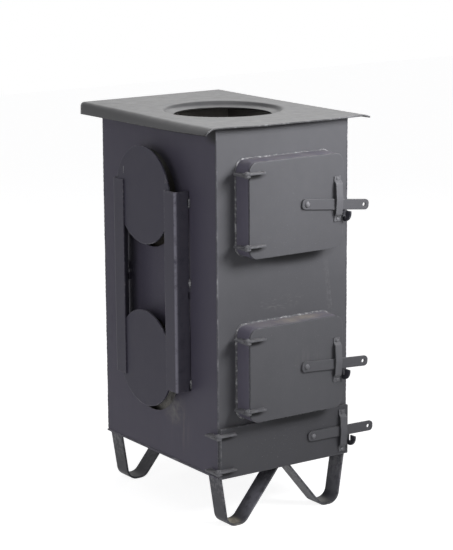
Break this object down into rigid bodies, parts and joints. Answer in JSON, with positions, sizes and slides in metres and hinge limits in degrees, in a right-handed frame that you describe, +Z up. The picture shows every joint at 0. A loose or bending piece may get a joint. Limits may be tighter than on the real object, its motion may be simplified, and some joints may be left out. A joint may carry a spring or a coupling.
{
  "type": "cookstove",
  "caption": "Upright sheet-steel cookstove on bent-strap feet, with hinged fire doors on collars, an ash door, lever latches, a pot hole in the top and discs over side ports.",
  "frame": {"origin": "middle of the stove's overall box in plan, on the floor", "axes": "+Z up, -Y towards the viewer of the doors, +X to the right as seen from the front"},
  "size_m": [0.396, 0.5202, 0.765],
  "materials": {
    "body_paint": "matte anthracite paint on rolled sheet",
    "top_paint": "matte anthracite paint",
    "side_paint": "matte anthracite paint",
    "bar_paint": "matte anthracite paint on flat bar",
    "rivet_paint": "matte paint on steel rivets",
    "inner_steel": "dull heat-darkened sheet",
    "pan_steel": "dull folded sheet",
    "grate_iron": "rough casting"
  },
  "bodies": {
    "body": {"base_plate": "body_paint", "front_panel": "body_paint", "rear_panel": "body_paint", "left_panel": "body_paint", "right_panel": "body_paint", "top_plate": "top_paint", "front_left_foot": "bar_paint", "front_right_foot": "bar_paint", "rear_left_foot": "bar_paint", "rear_right_foot": "bar_paint", "upper_collar": "body_paint", "lower_collar": "body_paint", "flue_collar": "body_paint", "front_side_rail": "side_paint", "rear_side_rail": "side_paint", "upper_disc": "side_paint", "lower_disc": "side_paint", "side_liner": "inner_steel", "smoke_baffle": "inner_steel", "baffle_ledges": "inner_steel", "fire_grate": "grate_iron", "grate_ledges": "inner_steel", "ash_pan": "pan_steel", "ash_pan_pull": "pan_steel", "upper_hinge_tabs": "bar_paint", "lower_hinge_tabs": "bar_paint", "ash_hinge_tabs": "bar_paint", "upper_hinge_pins": "rivet_paint", "lower_hinge_pins": "rivet_paint", "ash_hinge_pins": "rivet_paint", "upper_catch": "bar_paint", "lower_catch": "bar_paint", "ash_catch": "bar_paint"},
    "upper_door": {"upper_door": "body_paint", "upper_hinge_leaves": "bar_paint", "upper_guide": "bar_paint", "upper_guide_rivets": "rivet_paint", "upper_lever_rivet": "rivet_paint"},
    "lower_door": {"lower_door": "body_paint", "lower_hinge_leaves": "bar_paint", "lower_guide": "bar_paint", "lower_guide_rivets": "rivet_paint", "lower_lever_rivet": "rivet_paint"},
    "ash_door": {"ash_door": "body_paint", "ash_hinge_leaves": "bar_paint", "ash_guide": "bar_paint", "ash_guide_rivets": "rivet_paint", "ash_lever_rivet": "rivet_paint"},
    "upper_lever": {"upper_lever": "bar_paint"},
    "lower_lever": {"lower_lever": "bar_paint"},
    "ash_lever": {"ash_lever": "bar_paint"}
  },
  "joints": [
    {"name": "upper_door_hinge", "type": "hinge", "parent": "body", "child": "upper_door", "pos_m": [-0.12351, -0.24315, 0.6125], "axis": [0, 0, -1], "range_deg": [0, 150]},
    {"name": "lower_door_hinge", "type": "hinge", "parent": "body", "child": "lower_door", "pos_m": [-0.12351, -0.24315, 0.3015], "axis": [0, 0, -1], "range_deg": [0, 150]},
    {"name": "ash_door_hinge", "type": "hinge", "parent": "body", "child": "ash_door", "pos_m": [-0.16601, -0.20685, 0.15], "axis": [0, 0, -1], "range_deg": [0, 150]},
    {"name": "upper_lever_pivot", "type": "hinge", "parent": "upper_door", "child": "upper_lever", "pos_m": [0.01099, -0.24255, 0.6125], "axis": [0, -1, 0], "range_deg": [-5, 18]},
    {"name": "lower_lever_pivot", "type": "hinge", "parent": "lower_door", "child": "lower_lever", "pos_m": [0.01099, -0.24255, 0.3015], "axis": [0, -1, 0], "range_deg": [-6, 16]},
    {"name": "ash_lever_pivot", "type": "hinge", "parent": "ash_door", "child": "ash_lever", "pos_m": [0.05299, -0.20625, 0.15], "axis": [0, -1, 0], "range_deg": [-6, 12]}
  ]
}
